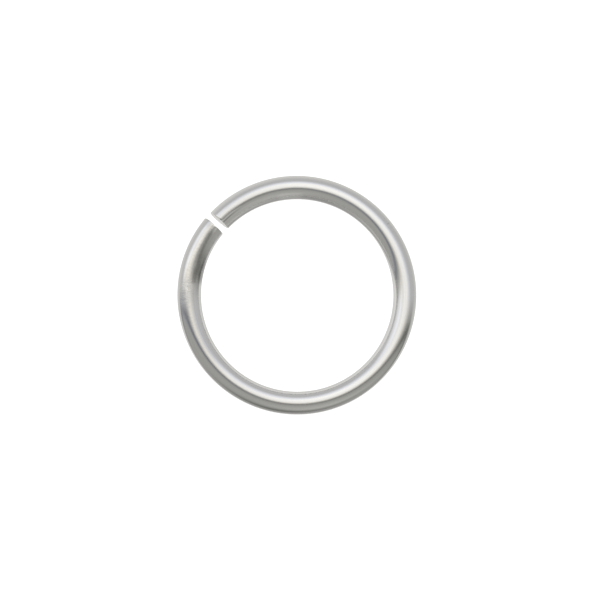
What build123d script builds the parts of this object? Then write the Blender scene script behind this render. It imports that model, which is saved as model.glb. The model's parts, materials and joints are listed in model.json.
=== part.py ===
from build123d import *
from math import atan, degrees, pi
import os

# Jump ring: one turn of round hard-drawn wire, wound on a mandrel and sawn off its coil.
# It keeps the coil's pitch, so its free end stands over its low end, and it lies as it comes
# to rest on a flat surface. The origin is the centre of the eye and +Z points up.

# Wire and coil, in millimetres
wire_diameter = 1.0
inner_diameter = 8.3
turn_space = 0.2  # clear space between one turn of the coil and the next

# Saw cut along the coil
kerf = 0.48
gap_angle = 138.3  # degrees from +X towards +Y, to the middle of the cut
saw_tilt = 3.5  # degrees that the blade leans away from the coil's axis
rim_break = 0.02  # radius that tumbling leaves on the sharp rims of the cut

wire_radius = wire_diameter / 2
bend_radius = inner_diameter / 2 + wire_radius
pitch = wire_diameter + turn_space


def coil():
    """A little over one turn about Z: up from the cut on +X, by -Y, -X and +Y, and past it."""
    overrun = 2 * kerf + wire_diameter  # so the blade always has metal to take off
    turns = 1 + overrun / (pi * bend_radius)
    helix = Helix(pitch, pitch * turns, bend_radius, lefthand=True)
    winding = Pos(0, 0, -pitch * turns / 2) * Rot(0, 0, 180 * (turns - 1)) * helix
    section = Plane(origin=winding @ 0, z_dir=winding % 0) * Circle(wire_radius)
    return sweep(section, path=winding, is_frenet=True)


def sawn(wire):
    """The turn that is left of the coil when the blade has gone through it on +X."""
    blade = Box(2 * wire_diameter, kerf, 4 * pitch)
    pieces = wire - Pos(bend_radius, 0, 0) * Rot(saw_tilt, 0, 0) * blade
    return pieces.solids().sort_by(SortBy.VOLUME)[-1]


def tumbled(ring):
    """The ring with the rims of its two cut faces rounded."""
    cut_faces = ring.faces().filter_by(GeomType.PLANE)
    rims = [rim for face in cut_faces for rim in face.edges()]
    return ring.fillet(min(rim_break, wire_radius / 4), rims)


def laid(ring):
    """The ring leant over until its low end and its back touch the surface below it."""
    along_cut = degrees(atan(pitch / (4 * bend_radius)))  # lifts the low end to the back's level
    across_cut = degrees(atan(pitch / (2 * pi * bend_radius)))  # levels the wire at the back
    return Rot(0, 0, gap_angle) * Rot(0, -along_cut, 0) * Rot(-across_cut, 0, 0) * ring


jump_ring = laid(tumbled(sawn(coil())))

os.makedirs("parts", exist_ok=True)
export_step(jump_ring, "parts/jump_ring.step")
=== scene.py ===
import json
import logging
import math
from dataclasses import dataclass
from enum import Enum

import bmesh
import bpy
from mathutils import Matrix, Vector


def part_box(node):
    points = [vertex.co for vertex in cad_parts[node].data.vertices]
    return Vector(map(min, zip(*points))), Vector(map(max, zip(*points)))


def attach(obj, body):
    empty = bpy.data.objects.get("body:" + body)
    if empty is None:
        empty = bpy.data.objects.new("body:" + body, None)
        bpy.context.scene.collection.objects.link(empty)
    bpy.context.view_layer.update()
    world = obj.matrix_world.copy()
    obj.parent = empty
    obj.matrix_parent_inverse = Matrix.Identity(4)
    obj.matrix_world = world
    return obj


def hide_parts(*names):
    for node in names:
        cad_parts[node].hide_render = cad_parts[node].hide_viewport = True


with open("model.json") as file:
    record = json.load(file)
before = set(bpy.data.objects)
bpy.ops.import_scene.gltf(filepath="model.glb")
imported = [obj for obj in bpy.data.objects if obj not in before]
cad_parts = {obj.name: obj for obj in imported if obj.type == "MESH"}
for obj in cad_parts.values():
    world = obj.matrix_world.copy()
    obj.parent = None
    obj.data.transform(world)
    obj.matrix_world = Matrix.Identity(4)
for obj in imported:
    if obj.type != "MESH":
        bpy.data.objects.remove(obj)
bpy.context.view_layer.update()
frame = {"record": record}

logging.basicConfig(level=logging.INFO, format="%(message)s")
log = logging.getLogger("jump_ring")

MM = 0.001
UNBENT = "unbent"  # attribute that holds each point's place on the straight wire
TINY = 1e-6  # keeps a power's base above 0

Pair = tuple[float, float]
Ramp = tuple[float, float]  # where something starts and where it is in full
Band = tuple[float, float, float, float]  # the same, then where it starts to fade and where it ends
Triple = tuple[float, float, float]
Colour = tuple[float, float, float]

WHITE: Colour = (1.0, 1.0, 1.0)


# Node trees written as expressions

class Ray(Enum):
    """What a light path tells of a ray, by the name of its output."""

    CAMERA = "Is Camera Ray"
    GLOSSY = "Is Glossy Ray"
    DEPTH = "Ray Depth"


class Term:
    """A socket of a node tree that takes part in arithmetic."""

    def __init__(self, graph: "Graph", socket: bpy.types.NodeSocket):
        """Keeps the socket and the graph that new nodes go into."""
        self.graph = graph
        self.socket = socket

    def __add__(self, other: "Term | float") -> "Term":
        """The sum."""
        return self.graph.math("ADD", self, other)

    __radd__ = __add__

    def __sub__(self, other: "Term | float") -> "Term":
        """The difference."""
        return self.graph.math("SUBTRACT", self, other)

    def __rsub__(self, other: float) -> "Term":
        """The difference the other way round."""
        return self.graph.math("SUBTRACT", other, self)

    def __mul__(self, other: "Term | float") -> "Term":
        """The product."""
        return self.graph.math("MULTIPLY", self, other)

    __rmul__ = __mul__

    def __truediv__(self, other: "Term | float") -> "Term":
        """The quotient."""
        return self.graph.math("DIVIDE", self, other)

    def __pow__(self, power: float) -> "Term":
        """The value raised to a power."""
        return self.graph.math("POWER", self, power)

    def __rpow__(self, base: float) -> "Term":
        """A base raised to this value."""
        return self.graph.math("POWER", base, self)

    def __neg__(self) -> "Term":
        """The value with its sign turned."""
        return self * -1.0

    def __abs__(self) -> "Term":
        """The value without its sign."""
        return self.graph.math("ABSOLUTE", self)

    def least(self, other: "Term | float") -> "Term":
        """The smaller of this and another value."""
        return self.graph.math("MINIMUM", self, other)

    def most(self, other: "Term | float") -> "Term":
        """The larger of this and another value."""
        return self.graph.math("MAXIMUM", self, other)

    def ramp(self, none: float, full: float) -> "Term":
        """Goes smoothly from 0 at one value to 1 at the other, whichever is the larger.

        Args:
            none: the value at which it is 0.
            full: the value at which it is 1.

        Returns:
            The share, from 0 to 1.
        """
        step = self.graph.node(
            "ShaderNodeMapRange",
            {"interpolation_type": "SMOOTHSTEP"},
            {"Value": self, "From Min": min(none, full), "From Max": max(none, full)},
        )
        rise = Term(self.graph, step.outputs["Result"])
        return rise if none < full else 1.0 - rise

    def band(self, start: float, full: float, fade: float, end: float) -> "Term":
        """Goes smoothly from 0 at start to 1 at full, and from 1 at fade to 0 at end."""
        return self.ramp(start, full) * self.ramp(end, fade)


class Graph:
    """A material's or the world's node tree, emptied and written anew."""

    def __init__(self, tree: bpy.types.NodeTree):
        """Empties the tree."""
        self.tree = tree
        self.tree.nodes.clear()

    def node(self, kind: str, settings: dict | None = None, values: dict | None = None) -> bpy.types.Node:
        """Adds a node.

        Args:
            kind: the node's type.
            settings: its properties, which are set first.
            values: what goes into its inputs, by name or place, as terms or plain values.

        Returns:
            The node.
        """
        made = self.tree.nodes.new(kind)
        for name, value in (settings or {}).items():
            setattr(made, name, value)
        for name, value in (values or {}).items():
            if isinstance(value, Term):
                self.tree.links.new(value.socket, made.inputs[name])
            else:
                made.inputs[name].default_value = value
        return made

    def term(self, kind: str, output: str, settings: dict | None = None, values: dict | None = None) -> Term:
        """Adds a node and returns one of its outputs, taking the arguments of node()."""
        return Term(self, self.node(kind, settings, values).outputs[output])

    def math(self, operation: str, *values: "Term | float") -> Term:
        """Adds a Math node on one or two values."""
        return self.term("ShaderNodeMath", "Value", {"operation": operation}, dict(enumerate(values)))

    def vector_math(self, operation: str, output: str, values: dict) -> Term:
        """Adds a Vector Math node and returns one of its outputs."""
        return self.term("ShaderNodeVectorMath", output, {"operation": operation}, values)

    def ray(self, kind: Ray) -> Term:
        """What the light path tells of the ray that meets the surface."""
        return self.term("ShaderNodeLightPath", kind.value)

    def dot(self, vector: Term, axis: Vector) -> Term:
        """How far a vector reaches along a fixed axis."""
        return self.vector_math("DOT_PRODUCT", "Value", {0: vector, 1: tuple(axis)})

    def distance(self, place: Term, point: Vector) -> Term:
        """How far a place is from a fixed point."""
        return self.vector_math("DISTANCE", "Value", {0: place, 1: tuple(point)})

    def toned(self, colour: Colour, tone: Term) -> Term:
        """A fixed colour, made lighter or darker by a tone about 1."""
        return self.vector_math("SCALE", "Vector", {0: colour, "Scale": tone})

    def noise(self, place: Term, grain: Triple) -> Term:
        """Noise about 0.

        Args:
            place: where the noise is taken.
            grain: how many grains there are to a unit along each axis.

        Returns:
            The noise.
        """
        drawn = self.vector_math("MULTIPLY", "Vector", {0: place, 1: grain})
        values = {"Vector": drawn, "Scale": 1.0, "Detail": 2.0}
        return self.term("ShaderNodeTexNoise", "Fac", values=values) - 0.5

    def blend(self, share: Term, start: "Term | Colour", end: "Term | Colour") -> Term:
        """Mixes two colours.

        Args:
            share: how much of the second there is.
            start: the first colour.
            end: the second colour.

        Returns:
            The colour between them.
        """
        mix = self.node("ShaderNodeMix", {"data_type": "RGBA"}, {"Factor": share})
        for name, colour in (("A", start), ("B", end)):
            socket = next(s for s in mix.inputs if s.name == name and s.type == "RGBA")
            if isinstance(colour, Term):
                self.tree.links.new(colour.socket, socket)
            else:
                socket.default_value = (*colour, 1.0)
        return Term(self, next(s for s in mix.outputs if s.type == "RGBA"))

    def mix(self, share: Term, shaders: dict) -> Term:
        """Mixes two shaders, of which 1 is there at a share of 0 and 2 at 1; one left out is black."""
        return self.term("ShaderNodeMixShader", "Shader", values={0: share} | shaders)

    def emission(self, strength: float) -> Term:
        """A white light of one strength."""
        return self.term("ShaderNodeEmission", "Emission", values={"Strength": strength})


def empty_material(name: str) -> tuple[bpy.types.Material, Graph]:
    """Makes a material.

    Args:
        name: the material's name.

    Returns:
        The material and its emptied node tree.
    """
    made = bpy.data.materials.new(name)
    made.use_nodes = True
    return made, Graph(made.node_tree)


def set_down(name: str, mesh: bmesh.types.BMesh, materials: list[bpy.types.Material]) -> bpy.types.Object:
    """Puts a finished mesh into the scene.

    Args:
        name: the name of the object and of its mesh.
        mesh: the mesh, with its place in it; it is freed.
        materials: its materials, in the order of the faces' indices.

    Returns:
        The object, which sits at the origin.
    """
    data = bpy.data.meshes.new(name)
    mesh.to_mesh(data)
    mesh.free()
    for material in materials:
        data.materials.append(material)
    made = bpy.data.objects.new(name, data)
    bpy.context.scene.collection.objects.link(made)
    return made


# The ring

class Finish(Enum):
    """The ring's finishes, by their place in its list of materials."""

    DRAWN = 0
    SAWN = 1


def smooth(value: float, low: float, high: float) -> float:
    """Rises smoothly from 0 at low to 1 at high."""
    share = min(max((value - low) / (high - low), 0), 1)
    return share**2 * (3 - 2 * share)


@dataclass
class JumpRing:
    """One turn of round wire, made straight, cut on the slant and wound into its turn.

    The straight wire runs along X with its middle at 0 and the ring's free end at high X.
    Y points to the outside of the bend and Z up. Lengths are in metres.
    """

    wire_radius: float
    bend_radius: float
    pitch: float
    place: Matrix

    # Saw cut
    kerf: float = 0.48 * MM
    saw_tilt: float = math.radians(3.5)
    slant_reach: float = 3.0  # wire radii over which the wire follows the slant of its end
    rim_break: float = 0.02 * MM
    rim_steps: int = 3

    # Shape of the section, as shares of its height
    keystone: float = 0.024  # thicker outside the bend than inside, all the way
    pinch: float = 0.11  # more of the same near the free end
    bulge: float = 0.16  # thicker on both sides near the free end
    pinch_span: Ramp = (10.6 * MM, 11.9 * MM)

    # Width of the section, as shares of its half width
    spread: float = 0.009  # wider outside, all the way
    slimness: float = 0.02  # narrower inside, all the way
    swell: float = 0.058  # wider inside, towards both ends
    swell_span: Ramp = (3 * MM, 11.5 * MM)

    # Kink near the free end
    sag: float = 0.025 * MM
    sag_span: Ramp = (9.2 * MM, 11.7 * MM)
    rise: float = 0.025 * MM
    rise_span: Ramp = (11.7 * MM, 13.6 * MM)

    # Lean of the climb from the ring's own axis
    climb_lean: float = math.radians(3.6)
    climb_azimuth: float = math.radians(79.3)

    # Fineness of the mesh
    around: int = 160
    along: int = 480

    @classmethod
    def from_record(cls, record: dict) -> "JumpRing":
        """Reads the ring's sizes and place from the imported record's mounts.

        Args:
            record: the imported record.

        Returns:
            The ring, with place leading from the coil's frame, in which the cut is on +X
            and the coil climbs along +Z, to the row's.
        """
        mounts = {mount["name"]: mount for mount in record["mounts"]}
        eye, back = mounts["eye"], mounts["wire_back"]
        wire_radius = back["dims"]["r_mm"] * MM
        bend_radius = eye["dims"]["r_mm"] * MM + wire_radius
        axis = Vector(eye["axis"]).normalized()
        to_cut = -Vector(back["pos_m"]).normalized()
        climb = abs(Vector(back["axis"]).normalized().dot(axis))
        place = Matrix((to_cut, axis.cross(to_cut), axis)).transposed().to_4x4()
        place.translation = Vector(eye["pos_m"])
        pitch = 2 * math.pi * bend_radius * math.tan(math.asin(climb))
        return cls(wire_radius, bend_radius, pitch, place)

    @property
    def arc(self) -> float:
        """Length of wire in one radian of the turn."""
        return math.hypot(self.bend_radius, self.pitch / (2 * math.pi))

    @property
    def climb(self) -> Vector:
        """The line along which the turn climbs, which leans a little from the ring's own axis."""
        lean = math.tan(self.climb_lean)
        return Vector((lean * math.cos(self.climb_azimuth), lean * math.sin(self.climb_azimuth), 1))

    @property
    def end_turn(self) -> float:
        """Angle from the plane through the axis and the cut to the middle of a cut face."""
        across = self.kerf / 2 - self.pitch / 2 * (math.sin(self.saw_tilt) + self.climb.y)
        return math.asin(across / (self.bend_radius * math.cos(self.saw_tilt)))

    @property
    def half_length(self) -> float:
        """Length of wire from the back to either end, on its centre line."""
        return (math.pi - self.end_turn) * self.arc

    def section(self, along: float) -> Matrix:
        """Where a cross-section of the straight wire goes in the coil's frame.

        Args:
            along: the section's place on the straight wire.

        Returns:
            A matrix whose columns are the wire's direction, outwards, up and its centre.
        """
        turn = math.pi + along / self.arc
        climbed = self.pitch * (turn / (2 * math.pi) - 0.5)
        out = Vector((math.cos(turn), -math.sin(turn), 0))
        ahead = Vector((-math.sin(turn), -math.cos(turn), 0)) * self.bend_radius
        ahead = (ahead + self.climb * self.pitch / (2 * math.pi)).normalized()
        up = ahead.cross(out).normalized()
        matrix = Matrix((ahead, up.cross(ahead), up)).transposed().to_4x4()
        matrix.translation = out * self.bend_radius + self.climb * climbed
        return matrix

    def draw_wire(self, mesh: bmesh.types.BMesh) -> None:
        """Makes the straight round wire, with its ends cut square.

        Args:
            mesh: the mesh that the wire is made in.
        """
        bmesh.ops.create_cone(
            mesh, cap_ends=True, segments=self.around, radius1=self.wire_radius,
            radius2=self.wire_radius, depth=2 * self.half_length,
            matrix=Matrix.Rotation(math.pi / 2, 4, "Y"),
        )
        runs = [edge for edge in mesh.edges if edge.calc_length() > self.half_length]
        bmesh.ops.subdivide_edges(mesh, edges=runs, cuts=self.along - 1)

    def press(self, mesh: bmesh.types.BMesh) -> None:
        """Brings the wire a little out of round, and kinks it slightly near its free end.

        Args:
            mesh: the straight wire.
        """
        for vertex in mesh.verts:
            along = vertex.co.x
            outward = vertex.co.y / self.wire_radius
            pinched = smooth(along, *self.pinch_span)
            taper = (self.keystone + self.pinch * pinched) * outward
            vertex.co.z *= 1 + taper + self.bulge * pinched * outward**2
            vertex.co.z -= self.sag * smooth(along, *self.sag_span)
            vertex.co.z += self.rise * smooth(along, *self.rise_span)
            if outward < 0:
                vertex.co.y *= 1 - self.slimness + self.swell * smooth(abs(along), *self.swell_span)
            else:
                vertex.co.y *= 1 + self.spread

    def slant_ends(self, mesh: bmesh.types.BMesh) -> None:
        """Leans each end so that, once wound, it lies on the saw blade's face.

        Args:
            mesh: the straight wire.
        """
        reach = self.slant_reach * self.wire_radius
        blade = Vector((0, math.cos(self.saw_tilt), math.sin(self.saw_tilt)))
        for side in (-1, 1):
            face = self.section(side * self.half_length).to_3x3().transposed() @ blade
            for vertex in mesh.verts:
                from_end = self.half_length - side * vertex.co.x
                lean = -(vertex.co.y * face.y + vertex.co.z * face.z) / face.x
                vertex.co.x += smooth(reach - from_end, 0, reach) * lean

    @staticmethod
    def cut_faces(mesh: bmesh.types.BMesh) -> list[bmesh.types.BMFace]:
        """The two faces of the cut, which are the only ones of more than four corners."""
        return [face for face in mesh.faces if len(face.verts) > 4]

    def break_rims(self, mesh: bmesh.types.BMesh) -> None:
        """Rounds the rims of the cut faces and gives the faces their own finish.

        Args:
            mesh: the straight wire.
        """
        rims = list({edge for face in self.cut_faces(mesh) for edge in face.edges})
        bmesh.ops.bevel(
            mesh, geom=rims, offset=self.rim_break, offset_type="OFFSET", segments=self.rim_steps,
            profile=0.5, affect="EDGES", material=-1,
        )
        for face in self.cut_faces(mesh):
            face.material_index = Finish.SAWN.value

    def wind(self, mesh: bmesh.types.BMesh) -> None:
        """Bends the straight wire into its turn, keeping each point's straight place in millimetres.

        Args:
            mesh: the straight wire.
        """
        unbent = mesh.verts.layers.float_vector.new(UNBENT)
        for vertex in mesh.verts:
            vertex[unbent] = vertex.co / MM
            across = Vector((0, vertex.co.y, vertex.co.z))
            vertex.co = self.place @ (self.section(vertex.co.x) @ across)

    def build(self, finishes: dict[Finish, bpy.types.Material]) -> bpy.types.Object:
        """Makes the ring's object.

        Args:
            finishes: the material of each finish.

        Returns:
            The ring.
        """
        mesh = bmesh.new()
        self.draw_wire(mesh)
        self.press(mesh)
        self.slant_ends(mesh)
        self.break_rims(mesh)
        self.wind(mesh)
        bmesh.ops.recalc_face_normals(mesh, faces=mesh.faces)
        ring = set_down("jump_ring_wire", mesh, [finishes[finish] for finish in Finish])
        ring.data.shade_smooth()
        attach(ring, "root")
        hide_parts("jump_ring")
        return ring


# Finishes

@dataclass(frozen=True)
class Mark:
    """A worn or marked place on the wire, or a place where light or shade is painted on it, which fades in
    and out along it and across it.

    Lengths are in millimetres on the straight wire. The tone is added to a base colour of 1,
    the roughness to the wire's, and the relief is the height of the mark's own grain.
    """

    along: Band
    across: Band
    tone: float = 0.0
    roughness: float = 0.0
    relief: float = 0.0
    grain: float = 0.0
    above: Ramp = (0.0, 0.05)

    def share(self, x: Term, y: Term, z: Term, grain: Term) -> Term:
        """How much of the mark there is at a place on the wire's upper side.

        Args:
            x: the place along the wire.
            y: the place outwards from the middle of the wire.
            z: the place above the middle of the wire.
            grain: fine noise about 0, which breaks the mark up.

        Returns:
            The share, from 0 to about 1.
        """
        place = x.band(*self.along) * y.band(*self.across) * z.ramp(*self.above)
        return place * (1.0 + grain * self.grain)


# Towards the free end
SCUFF = Mark((10.4, 11.1, 11.7, 12.1), (-0.4, -0.1, 0.36, 0.44), tone=0.04, roughness=0.11, grain=1.2)
SCUFF_RIM = Mark((10.5, 10.9, 11.5, 11.9), (0.05, 0.15, 0.36, 0.42), tone=0.24, grain=0.9)
# Painted shade that makes the highlight narrower on the inside of the bend.
NARROWING_SHADE_PAINTED = Mark((7.2, 9.0, 11.2, 11.9), (-0.25, -0.17, -0.12, 0.02), tone=-0.18, grain=0.6)
# Painted reflection of a dark part of the studio on the inside of the bend, laid on as three overlapping
# dark patches.
DARK_REFLECTION_RIM_PAINTED = Mark((11.6, 12.0, 12.6, 13.2), (-0.52, -0.5, -0.38, -0.3), tone=-0.4, grain=0.4)
DARK_REFLECTION_BAND_PAINTED = Mark((12.3, 12.6, 12.95, 13.6), (-0.52, -0.4, -0.18, -0.05), tone=-0.2, grain=0.8)
DARK_REFLECTION_CORE_PAINTED = Mark((11.6, 11.9, 12.25, 12.6), (-0.27, -0.2, -0.1, -0.01), tone=-0.36, grain=0.8)
TUMBLED = Mark((8.8, 10.2, 13.8, 14.6), (-0.4, -0.2, 0.3, 0.45), relief=0.0012)
# Painted highlight towards the free end, on the top of the wire and outside it.
END_HIGHLIGHT_PAINTED = Mark((11.7, 12.2, 13.5, 14.3), (0.01, 0.05, 0.13, 0.22), tone=0.14)
OUTER_HIGHLIGHT_PAINTED = Mark((11.1, 12.0, 12.6, 13.5), (0.08, 0.2, 0.27, 0.38), tone=0.15)
END_GLINT = Mark((14.05, 14.42, 15.0, 15.1), (-0.22, -0.14, 0.0, 0.06), tone=0.6)
# Painted shade that dims the highlight right at the free end.
END_SHADE_PAINTED = Mark((14.1, 14.4, 15.0, 15.1), (0.1, 0.16, 0.3, 0.36), tone=-0.15)
RIM_SHADE = Mark((9.6, 10.7, 14.7, 15.1), (0.34, 0.41, 0.5, 0.6), tone=-0.14)

# At the back, and towards the low end
# Painted reflection of a dark part of the studio on the outside of the bend, broken into specks.
SPECKLED_DARK_REFLECTION_PAINTED = Mark((-2.35, -2.1, -1.6, -1.1), (0.17, 0.24, 0.33, 0.4), tone=-0.08, grain=3.0)
# Painted reflection of the lit floor inside the ring, on the inside of the bend.
INNER_REFLECTION_PAINTED = Mark((-11.7, -11.4, -10.7, -10.3), (-0.5, -0.44, -0.3, -0.2), tone=0.15)
# Painted shade of a small dent on the outside of the bend; the dent has no relief.
NICK_SHADE_PAINTED = Mark((-6.5, -6.48, -6.46, -6.44), (0.25, 0.3, 0.42, 0.45), tone=-0.15)
# Painted highlight and painted shade of a shallow crease along the wire near the low end; the crease has no
# relief.
CREASE_HIGHLIGHT_PAINTED = Mark((-14.8, -14.7, -14.1, -13.1), (-0.155, -0.12, -0.085, -0.06), tone=0.6)
CREASE_SHADE_PAINTED = Mark((-14.8, -14.7, -14.2, -13.3), (-0.22, -0.19, -0.17, -0.145), tone=-0.35)
CREASE_EDGE_SHADE_PAINTED = Mark((-14.8, -14.7, -14.0, -13.2), (-0.05, -0.02, 0.02, 0.05), tone=-0.2)

MARKS = (
    SCUFF, SCUFF_RIM, NARROWING_SHADE_PAINTED, DARK_REFLECTION_RIM_PAINTED, DARK_REFLECTION_BAND_PAINTED, DARK_REFLECTION_CORE_PAINTED, TUMBLED, END_HIGHLIGHT_PAINTED, OUTER_HIGHLIGHT_PAINTED, END_GLINT,
    END_SHADE_PAINTED, RIM_SHADE, SPECKLED_DARK_REFLECTION_PAINTED, INNER_REFLECTION_PAINTED, NICK_SHADE_PAINTED, CREASE_HIGHLIGHT_PAINTED, CREASE_SHADE_PAINTED, CREASE_EDGE_SHADE_PAINTED,
)


@dataclass(frozen=True)
class DrawnWire:
    """Bright hard-drawn wire, with the fine lines that the die leaves along it.

    Lengths are in millimetres on the straight wire.
    """

    colour: Colour = (0.616, 0.612, 0.604)
    roughness: float = 0.15
    anisotropy: float = 0.3
    anisotropy_turn: float = 0.25

    # Die lines
    line_spacing: float = 0.06
    line_length: float = 4.0
    line_depth: float = 0.0005
    line_tone: float = 0.12

    # More of their tone on the inside of the bend, at the low end
    scored_tone: float = 0.25
    scored_along: Ramp = (-11.6, -13.4)
    scored_across: Ramp = (0.0, -0.1)

    # Fine grain between them
    grain_length: float = 0.07
    grain_width: float = 0.14
    grain_tone: float = 0.05
    grain_depth: float = 0.0008

    def drawn_noise(self, graph: Graph, unbent: Term, length: float, width: float) -> Term:
        """Noise about 0, with its grain of a length along the wire and a width across it."""
        return graph.noise(unbent, (1 / length, 1 / width, 1 / width))

    def material(self) -> bpy.types.Material:
        """Builds the finish.

        Returns:
            The material.
        """
        made, graph = empty_material("drawn_steel_wire")
        unbent = graph.term("ShaderNodeAttribute", "Vector", {"attribute_name": UNBENT})
        x, y, z = (graph.dot(unbent, axis) for axis in Matrix.Identity(3))
        lines = self.drawn_noise(graph, unbent, self.line_length, self.line_spacing)
        grain = self.drawn_noise(graph, unbent, self.grain_length, self.grain_width)
        scored = x.ramp(*self.scored_along) * y.ramp(*self.scored_across)
        tone = 1.0 + lines * (self.line_tone + self.scored_tone * scored) + grain * self.grain_tone
        roughness = self.roughness
        height = lines * self.line_depth + grain * self.grain_depth
        for mark in MARKS:
            share = mark.share(x, y, z, grain)
            if mark.tone:
                tone = tone * (1.0 + share * mark.tone)
            if mark.roughness:
                roughness = roughness + share * mark.roughness
            if mark.relief:
                height = height + share * grain * mark.relief
        relief = {"Height": height, "Strength": 1.0, "Distance": MM}
        bump = graph.term("ShaderNodeBump", "Normal", values=relief)
        shader = graph.term("ShaderNodeBsdfPrincipled", "BSDF", values={
            "Base Color": graph.toned(self.colour, tone), "Metallic": 1.0, "Roughness": roughness,
            "Anisotropic": self.anisotropy, "Anisotropic Rotation": self.anisotropy_turn, "Normal": bump,
        })
        graph.node("ShaderNodeOutputMaterial", values={"Surface": shader})
        return made


@dataclass(frozen=True)
class SawnFace:
    """The face that the saw leaves, finely scored and duller than the wire."""

    colour: Colour = (0.72, 0.715, 0.7)
    roughness: float = 0.5
    score_spacing: float = 0.05
    score_slimness: float = 0.3  # a score's width as a share of its length
    score_tone: float = 0.3

    def material(self) -> bpy.types.Material:
        """Builds the finish.

        Returns:
            The material.
        """
        made, graph = empty_material("sawn_steel_face")
        unbent = graph.term("ShaderNodeAttribute", "Vector", {"attribute_name": UNBENT})
        across = 1 / self.score_spacing
        scores = graph.noise(unbent, (0.0, self.score_slimness * across, across))
        shader = graph.term("ShaderNodeBsdfPrincipled", "BSDF", values={
            "Base Color": graph.toned(self.colour, 1.0 + scores * self.score_tone),
            "Metallic": 1.0, "Roughness": self.roughness,
        })
        graph.node("ShaderNodeOutputMaterial", values={"Surface": shader})
        return made


# Studio

@dataclass(frozen=True)
class View:
    """The camera that looks down on the ring, and the directions of its picture."""

    ring: JumpRing
    gap_angle: float = math.radians(138.3)
    frame_width: float = 25.86 * MM
    sensor_width: float = 36.0
    distance: float = 450 * MM
    aim_right: float = 0.13 * MM
    aim_up: float = -0.212 * MM

    @property
    def axes(self) -> Matrix:
        """The picture's right and up and the way back to the camera, which looks along the climb.

        Returns:
            A matrix that holds them as its columns.
        """
        coil = self.ring.place.to_3x3()
        climb = self.ring.climb
        across = Vector((-climb.y, climb.x, 0))
        leant = Matrix.Rotation(self.ring.climb_lean, 3, across)
        return coil @ leant @ Matrix.Rotation(-self.gap_angle, 3, "Z")

    def build(self) -> bpy.types.Object:
        """Makes the camera.

        Returns:
            The camera.
        """
        data = bpy.data.cameras.new("camera")
        data.sensor_width = self.sensor_width
        data.lens = self.sensor_width * self.distance / self.frame_width
        camera = bpy.data.objects.new("camera", data)
        bpy.context.scene.collection.objects.link(camera)
        camera.matrix_world = self.axes.to_4x4()
        camera.location = self.axes @ Vector((self.aim_right, self.aim_up, self.distance))
        bpy.context.scene.camera = camera
        return camera


@dataclass(frozen=True)
class Heading:
    """A direction away from the ring: x right, y to the rear and z up to the camera.

    The line is how far it lies behind the line where the tent ends.
    """

    vector: Term
    x: Term
    y: Term
    z: Term
    line: Term


@dataclass(frozen=True)
class Tent:
    """The rear: a pale tent with a soft lamp box, a smaller lamp on the left and white paper.

    Light is given as radiance, and so it is in the other parts of the studio.
    """

    view: View
    tent: float = 0.69

    # Lamp box, seen on a flat ceiling
    box: float = 0.862
    box_centre: Pair = (0.084, 0.539)
    box_reach: Pair = (0.794, 0.859)
    box_fall: float = 0.788
    box_horizon: float = 0.12

    # Smaller lamp
    side: float = 0.42
    side_azimuth: float = math.radians(158.4)
    side_polar: float = math.radians(51.5)
    side_reach: float = math.radians(29.5)

    # White paper at the foot of the tent, brighter to the left
    paper: float = 0.128
    paper_slope: float = -0.9
    paper_height: Ramp = (0.3, -0.4)

    def lamp_box(self, at: Heading) -> Term:
        """Draws the lamp box.

        Args:
            at: the direction.

        Returns:
            How much of it shows, from 0 to 1.
        """
        height = at.z.most(self.box_horizon)
        u = (at.x / height - self.box_centre[0]) / self.box_reach[0]
        w = (at.y / height - self.box_centre[1]) / self.box_reach[1]
        return math.e ** -((u * u + w * w + TINY) ** self.box_fall)

    def side_lamp(self, graph: Graph, at: Heading) -> Term:
        """Draws the smaller lamp.

        Args:
            graph: the world's node tree.
            at: the direction.

        Returns:
            How much of it shows, from 0 to 1.
        """
        turn = Matrix.Rotation(self.side_azimuth, 3, "Z") @ Matrix.Rotation(self.side_polar, 3, "Y")
        toward = self.view.axes @ turn @ Vector((0, 0, 1))
        return graph.dot(at.vector, toward).ramp(math.cos(self.side_reach), 1.0)

    def light(self, graph: Graph, at: Heading, box: Term) -> Term:
        """The light from the rear, given how much of the lamp box shows."""
        paper = self.paper * at.z.ramp(*self.paper_height) * (1.0 + self.paper_slope * at.x)
        return self.tent + self.box * box + self.side * self.side_lamp(graph, at) + paper


@dataclass(frozen=True)
class Front:
    """The front: a dark slit where the tent ends, a duller room and the table's edge."""

    slit: float = 0.401
    slit_reach: Pair = (0.885, 0.93)  # its reach ahead, and how much that grows to the right
    least_reach: float = 0.05

    # Darker seam in the slit, and more of it on the left
    seam: float = 0.185
    seam_at: float = 0.184
    seam_reach: float = 0.101
    left_seam: float = 0.05
    left_span: Ramp = (0.1, -0.4)

    # Room
    front: float = 0.51
    glow: float = 0.354
    glow_at: float = 0.8
    glow_reach: float = 1.125

    # Darker stretch low ahead
    dip: float = 0.357
    dip_at: float = 0.775
    dip_reach: float = 2.0
    dip_height: Band = (0.4, 0.0, -0.1, -0.6)
    dip_ahead: Ramp = (-0.4, -0.95)

    # Table's edge
    table: float = 0.12
    table_height: Band = (0.1, -0.15, -0.3, -0.6)
    table_ahead: Ramp = (-0.6, -0.95)

    def light(self, at: Heading) -> Term:
        """Adds up the light from the front, from the dark slit out to the table's edge.

        Args:
            at: the direction.

        Returns:
            The radiance.
        """
        low = at.z.band(*self.dip_height) * at.y.ramp(*self.dip_ahead)
        table = at.z.band(*self.table_height) * at.y.ramp(*self.table_ahead)
        ahead = (
            self.front
            + self.glow * abs(at.x - self.glow_at).ramp(self.glow_reach, 0.0)
            - self.dip * low * abs(at.x - self.dip_at).ramp(self.dip_reach, 0.0)
            - self.table * table
        )
        reach = (self.slit_reach[0] + self.slit_reach[1] * at.x).most(self.least_reach)
        lit = (-at.line / reach).ramp(0.0, 1.0)
        seam = self.seam + self.left_seam * at.x.ramp(*self.left_span)
        seam = seam * abs(at.line + self.seam_at).ramp(self.seam_reach, 0.0)
        return self.slit + (ahead - self.slit) * lit - seam


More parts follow.
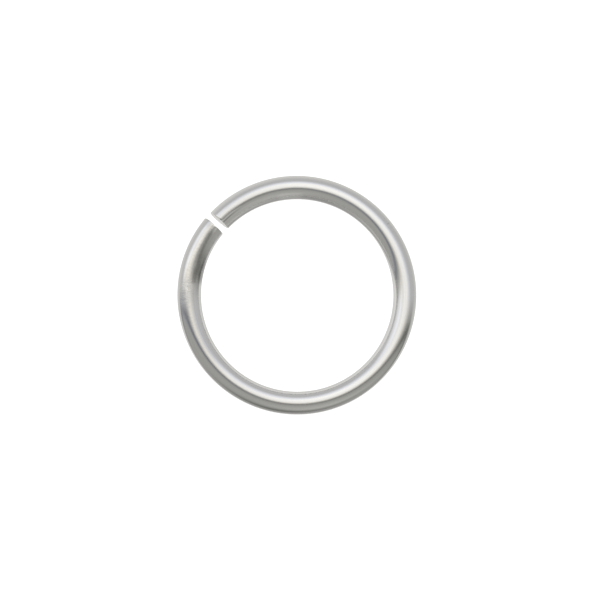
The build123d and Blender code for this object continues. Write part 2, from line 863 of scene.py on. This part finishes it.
@dataclass(frozen=True)
class Surround:
    """What lies all round: paper below, its shade, a dark card and a pale strip on the left."""

    low_paper: float = 0.17
    low_height: Ramp = (-0.25, -0.95)

    # Dark card on the right
    card: float = 0.035
    card_right: Ramp = (0.5, 0.85)
    card_bearing: Band = (-0.5, -0.4, -0.18, -0.12)
    card_height: Ramp = (0.8, 0.4)
    least_right: float = 0.1

    # Pale strip on the left, level with the ring
    strip: float = 0.11
    strip_at: float = 0.07
    strip_reach: float = 0.24
    strip_left: Ramp = (-0.5, -0.85)
    strip_rear: Ramp = (-0.4, 0.05)

    # Shade right below, as a share of the light there
    shade: float = 0.2
    shade_height: Ramp = (-0.6, -0.95)
    shade_rear: Ramp = (-0.9, 0.1)

    def light(self, at: Heading) -> Term:
        """Adds up the light that comes on top of the tent's and the front's.

        Args:
            at: the direction.

        Returns:
            The radiance, which the card makes less.
        """
        paper = self.low_paper * at.z.ramp(*self.low_height)
        bearing = (at.y / at.x.most(self.least_right)).band(*self.card_bearing)
        card = self.card * at.x.ramp(*self.card_right) * bearing * at.z.ramp(*self.card_height)
        strip = self.strip * abs(at.z - self.strip_at).ramp(self.strip_reach, 0.0)
        return paper - card + strip * at.x.ramp(*self.strip_left) * at.y.ramp(*self.strip_rear)

    def kept(self, at: Heading) -> Term:
        """The share of all the light that the shade leaves."""
        return 1.0 - self.shade * at.z.ramp(*self.shade_height) * at.y.ramp(*self.shade_rear)


@dataclass(frozen=True)
class Tints:
    """The faint colours of the studio's parts."""

    tent: Colour = (0.995, 1.0, 1.01)
    box: Colour = (1.01, 1.0, 0.965)
    fringe: Colour = (0.98, 1.0, 1.07)
    fringe_height: Ramp = (0.92, 0.75)
    edge: Colour = (1.04, 1.0, 0.91)
    edge_line: Ramp = (0.2, 0.05)
    edge_height: Ramp = (0.5, 0.8)
    front: Colour = (1.0, 1.0, 0.955)
    slit: Colour = (0.95, 1.0, 1.12)
    slit_line: Ramp = (-0.35, -0.2)
    slit_left: Ramp = (0.2, -0.3)
    slit_ahead: Ramp = (0.0, -0.15)
    low: Colour = (1.005, 1.0, 0.98)
    low_height: Ramp = (0.0, -0.3)

    def tint(self, graph: Graph, at: Heading, box: Term, rear: Term) -> Term:
        """The light's colour.

        Args:
            graph: the world's node tree.
            at: the direction.
            box: how much of the lamp box shows there.
            rear: how much of the tent shows there.

        Returns:
            The colour, near white.
        """
        fringe = box * (1.0 - box) * 4.0 * at.z.ramp(*self.fringe_height)
        edge = at.line.ramp(*self.edge_line) * at.z.ramp(*self.edge_height)
        slit = at.line.ramp(*self.slit_line) * at.x.ramp(*self.slit_left) * at.y.ramp(*self.slit_ahead)
        behind = graph.blend(fringe, graph.blend(box, self.tent, self.box), self.fringe)
        behind = graph.blend(edge, behind, self.edge)
        ahead = graph.blend(slit, self.front, self.slit)
        return graph.blend(at.z.ramp(*self.low_height), graph.blend(rear, ahead, behind), self.low)


@dataclass(frozen=True)
class Studio:
    """The light round the ring, which the world holds, and the line where the tent ends."""

    view: View
    edge_at: float = -0.061
    edge_slope: float = -0.062
    edge_bend: float = 0.087
    edge_drop: float = 0.717
    edge_softness: float = 0.14

    def heading(self, graph: Graph) -> Heading:
        """Reads the direction that the world is seen in.

        Args:
            graph: the world's node tree.

        Returns:
            The direction.
        """
        vector = graph.term("ShaderNodeTexCoord", "Generated")
        x, y, z = (graph.dot(vector, axis) for axis in self.view.axes.transposed())
        edge = self.edge_at + x * self.edge_slope + abs(x) * self.edge_bend
        return Heading(vector, x, y, z, y - edge - z.least(0.0) * self.edge_drop)

    def build(self) -> bpy.types.World:
        """Writes the light that comes from each direction, and a white background.

        Returns:
            The world.
        """
        world = bpy.data.worlds.new("studio")
        bpy.context.scene.world = world
        world.use_nodes = True
        graph = Graph(world.node_tree)
        at = self.heading(graph)
        tent, surround = Tent(self.view), Surround()
        box = tent.lamp_box(at)
        rear = at.line.ramp(-self.edge_softness, self.edge_softness)
        ends = rear * tent.light(graph, at, box) + (1.0 - rear) * Front().light(at)
        glow = (ends + surround.light(at)) * surround.kept(at)
        tint = Tints().tint(graph, at, box, rear)
        seen = graph.ray(Ray.CAMERA)
        background = graph.term("ShaderNodeBackground", "Background", values={
            "Color": graph.blend(seen, tint, WHITE), "Strength": seen + (1.0 - seen) * glow,
        })
        graph.node("ShaderNodeOutputWorld", values={"Surface": background})
        return world


@dataclass(frozen=True)
class Floor:
    """The white floor that the ring lies on, which can't be seen from below.

    Reflections pass through it to the paper below, which the world holds, and are a little
    brighter where a painted sheen stands for light thrown on the paper: inside the ring,
    under the cut, and where they have met the wire before.
    """

    ring: JumpRing
    radius: float = 250 * MM
    corners: int = 96
    paper: Colour = (0.9, 0.9, 0.9)
    white: float = 1.25
    white_share: float = 0.85
    # Painted sheen that reflections find on the paper: inside the ring, under the cut, and after they have
    # met the wire
    hole_sheen: float = 0.21
    hole_span: Ramp = (3.2 * MM, 1.6 * MM)
    gap_sheen: float = 0.27
    gap_span: Ramp = (0.8 * MM, 0.4 * MM)
    deep_sheen: float = 0.4

    @property
    def height(self) -> float:
        """The lowest point of the solid ring."""
        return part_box("jump_ring")[0].z

    def sheen(self, graph: Graph) -> Term:
        """Draws the painted sheen that stands for light thrown on the paper.

        Args:
            graph: the floor's node tree.

        Returns:
            The radiance that a reflection finds there, over what the world holds.
        """
        place = graph.term("ShaderNodeTexCoord", "Object")
        cut = self.ring.place @ Vector((self.ring.bend_radius, 0, 0))
        cut.z = self.height
        hole = graph.distance(place, Vector()).ramp(*self.hole_span)
        gap = graph.distance(place, cut).ramp(*self.gap_span)
        deep = (graph.ray(Ray.DEPTH) - 1.0).most(0.0).least(1.0)
        return hole * self.hole_sheen + gap * self.gap_sheen + deep * self.deep_sheen

    def material(self) -> bpy.types.Material:
        """Builds the floor's finish.

        Returns:
            The material.
        """
        made, graph = empty_material("white_floor")
        glossy = graph.ray(Ray.GLOSSY)
        paper = graph.term("ShaderNodeBsdfDiffuse", "BSDF", values={"Color": (*self.paper, 1.0)})
        lit = graph.mix(graph.ray(Ray.CAMERA) * self.white_share, {1: paper, 2: graph.emission(self.white)})
        sheen = graph.mix(glossy * self.sheen(graph), {2: graph.emission(1.0)})
        through = graph.term("ShaderNodeBsdfTransparent", "BSDF")
        clear = graph.term("ShaderNodeAddShader", "Shader", values={0: through, 1: sheen})
        below = graph.term("ShaderNodeNewGeometry", "Backfacing")
        shader = graph.mix(below.most(glossy), {1: lit, 2: clear})
        graph.node("ShaderNodeOutputMaterial", values={"Surface": shader})
        return made

    def build(self) -> bpy.types.Object:
        """Makes the floor.

        Returns:
            The floor.
        """
        mesh = bmesh.new()
        bmesh.ops.create_circle(
            mesh, cap_ends=True, segments=self.corners, radius=self.radius,
            matrix=Matrix.Translation((0, 0, self.height)),
        )
        floor = set_down("floor", mesh, [self.material()])
        return floor


def main() -> None:
    """Builds the ring, the camera and the studio."""
    ring = JumpRing.from_record(frame["record"])
    wire = ring.build({Finish.DRAWN: DrawnWire().material(), Finish.SAWN: SawnFace().material()})
    log.info("%s: %d faces, pitch %.3f mm", wire.name, len(wire.data.polygons), ring.pitch / MM)
    view = View(ring)
    camera = view.build()
    log.info("%s: %.1f mm lens", camera.name, camera.data.lens)
    world = Studio(view).build()
    log.info("%s: %d nodes", world.name, len(world.node_tree.nodes))
    ground = Floor(ring)
    floor = ground.build()
    log.info("%s: at %.3f mm", floor.name, ground.height / MM)
    bpy.context.scene.view_settings.view_transform = "Standard"


if __name__ == "__main__":
    main()
